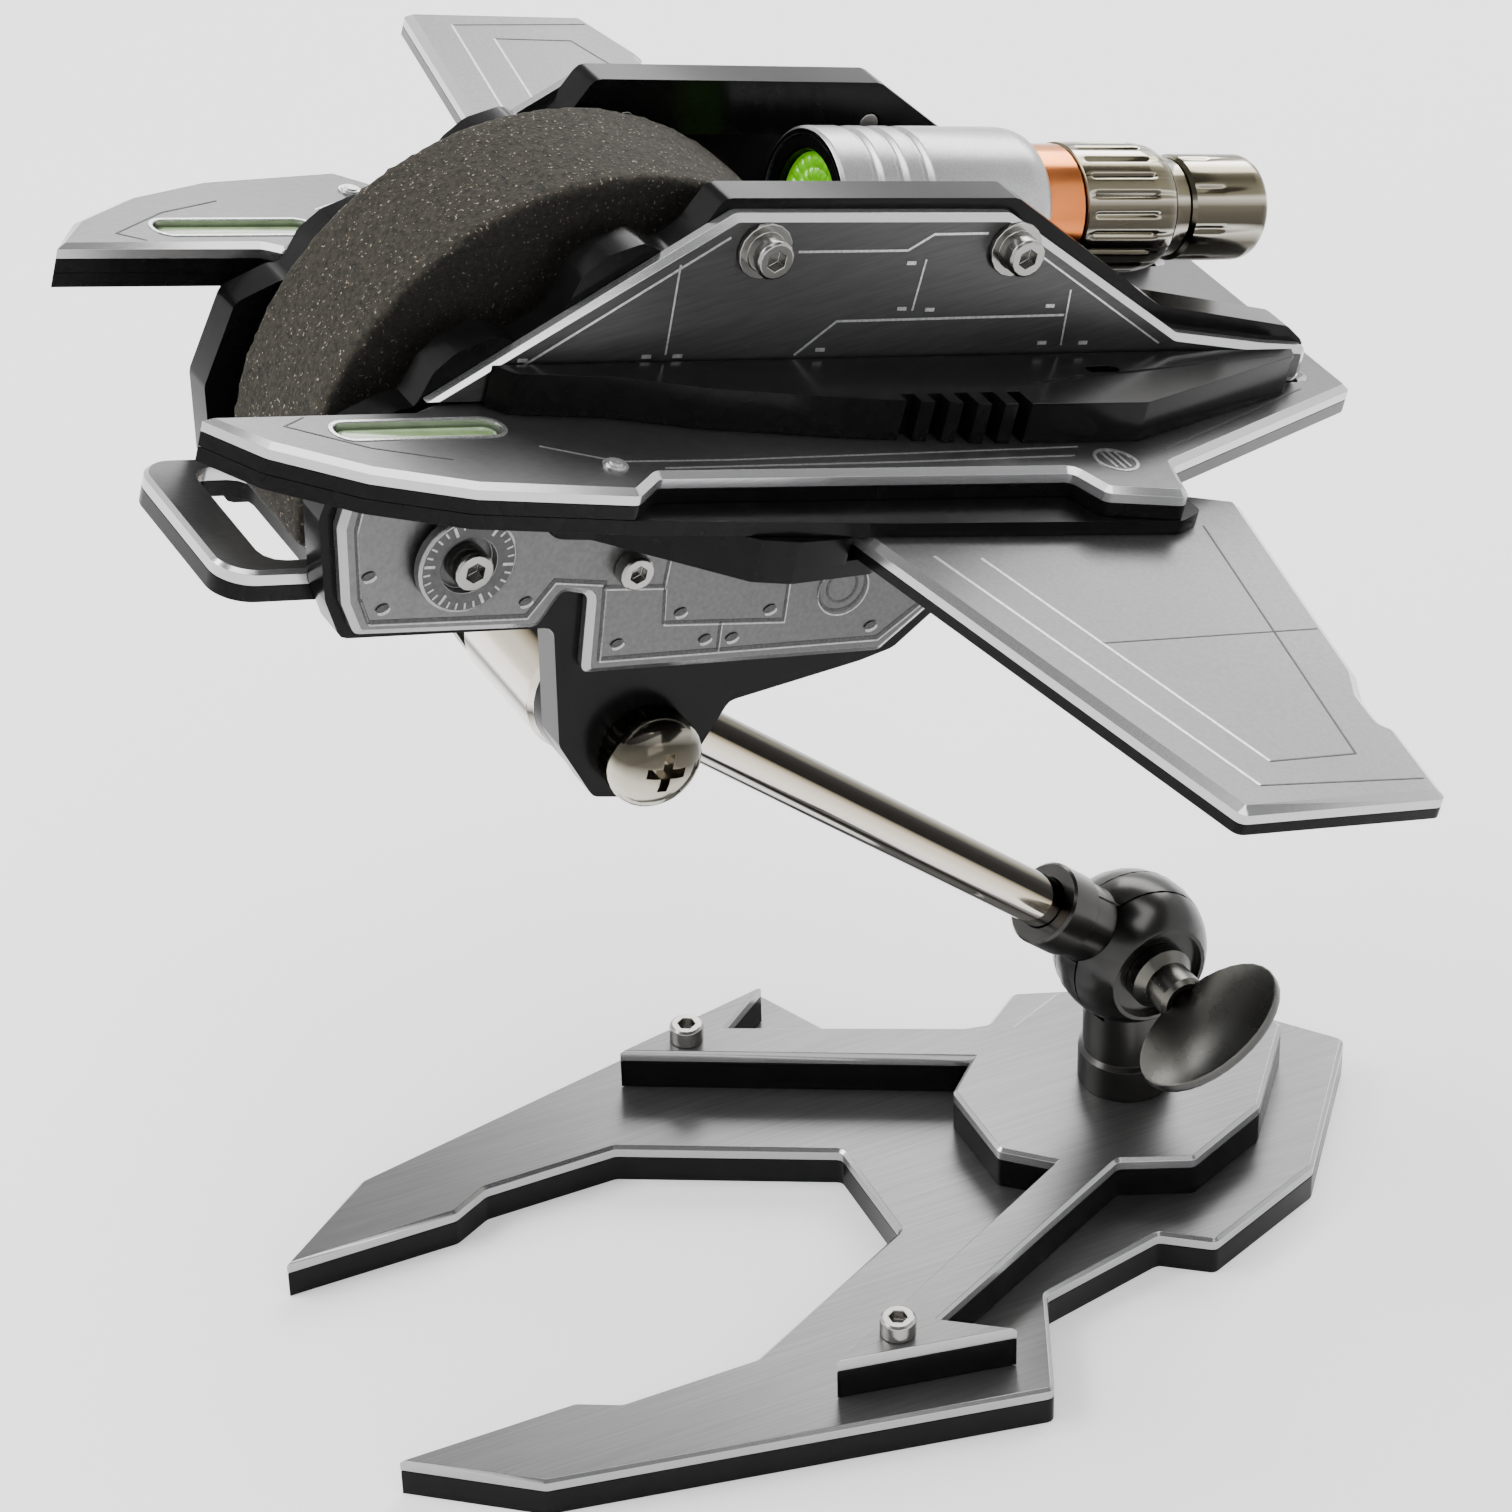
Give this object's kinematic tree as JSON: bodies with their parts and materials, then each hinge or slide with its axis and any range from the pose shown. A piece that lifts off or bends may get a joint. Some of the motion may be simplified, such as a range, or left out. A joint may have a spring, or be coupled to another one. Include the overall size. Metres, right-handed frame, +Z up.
{
  "type": "desk display stand",
  "caption": "Desk display stand with a forked foot, a jointed arm and a winged spacecraft-shaped hull of layered plates holding a foam disc and a round connector.",
  "frame": {"origin": "centre of the post's axis on the underside of the foot", "axes": "+Z up, nose of the hull towards -Y, +X to the right when looking along +Y"},
  "size_m": [0.2399, 0.1935, 0.2054],
  "materials": {
    "black_acrylic": "polished faces and edges",
    "brushed_silver": "brushed sheet with a bright chamfer and dark engraved lines",
    "steel_screws": "bright machined steel",
    "black_nickel": "black nickel plating",
    "polished_chrome": "polished",
    "barrel_silver": "satin",
    "green_lens": "translucent, bright",
    "green_insert": "clear green",
    "copper": "polished copper",
    "foam": "open-cell polyurethane foam"
  },
  "bodies": {
    "foot": {"base_plate_black": "black_acrylic", "base_plate_silver": "brushed_silver", "fork_plate_black": "black_acrylic", "fork_plate_silver": "brushed_silver", "fork_screw_left": "steel_screws", "fork_screw_right": "steel_screws", "post_screw": "steel_screws"},
    "post": {"post_knuckle": "black_nickel", "clamp_bolt": "steel_screws"},
    "wing_nut": {"wing_nut": "black_nickel"},
    "arm": {"arm_socket": "black_nickel", "arm_rod": "polished_chrome", "arm_tee": "polished_chrome", "tee_spacer": "black_acrylic"},
    "hull": {"deck_black_upper": "black_acrylic", "deck_black_lower_left": "black_acrylic", "deck_black_lower_right": "black_acrylic", "bumper_black": "black_acrylic", "barrel_saddle": "black_acrylic", "barrel_bezel": "black_acrylic", "deck_silver": "brushed_silver", "bumper_silver": "brushed_silver", "foam_axle": "steel_screws", "connector_body": "polished_chrome", "connector_end": "polished_chrome", "barrel_body": "barrel_silver", "barrel_lens": "green_lens", "copper_ring": "copper", "foam_disc": "foam", "upright_screw_front_left": "steel_screws", "upright_screw_rear_left": "steel_screws", "dial_screw_left": "steel_screws", "hull_screw_left": "steel_screws", "pivot_collar_left": "steel_screws", "pivot_screw_left": "steel_screws", "side_plate_left": "black_acrylic", "wing_black_left": "black_acrylic", "keel_plate_left": "black_acrylic", "engine_cover_left": "black_acrylic", "hull_panel_left": "brushed_silver", "upright_panel_left": "brushed_silver", "wing_silver_left": "brushed_silver", "dial_washer_left": "brushed_silver", "slot_insert_left": "green_insert", "upright_screw_front_right": "steel_screws", "upright_screw_rear_right": "steel_screws", "dial_screw_right": "steel_screws", "hull_screw_right": "steel_screws", "pivot_collar_right": "steel_screws", "pivot_screw_right": "steel_screws", "side_plate_right": "black_acrylic", "wing_black_right": "black_acrylic", "keel_plate_right": "black_acrylic", "engine_cover_right": "black_acrylic", "hull_panel_right": "brushed_silver", "upright_panel_right": "brushed_silver", "wing_silver_right": "brushed_silver", "dial_washer_right": "brushed_silver", "slot_insert_right": "green_insert"}
  },
  "joints": [
    {"name": "post_swivel", "type": "hinge", "parent": "foot", "child": "post", "pos_m": [0, 0, 0.02], "axis": [0, 0, 1], "range_deg": [-90, 90]},
    {"name": "wing_nut_turn", "type": "hinge", "parent": "post", "child": "wing_nut", "pos_m": [0, 0, 0.0396], "axis": [0.9983, 0.0576, 0], "range_deg": [0, 180]},
    {"name": "arm_tilt", "type": "hinge", "parent": "post", "child": "arm", "pos_m": [0, 0, 0.0396], "axis": [0.9983, 0.0576, 0], "range_deg": [-45, 20]},
    {"name": "hull_tilt", "type": "hinge", "parent": "arm", "child": "hull", "pos_m": [0.00531, -0.09208, 0.12352], "axis": [0.9983, 0.0576, 0], "range_deg": [-35, 50]}
  ]
}
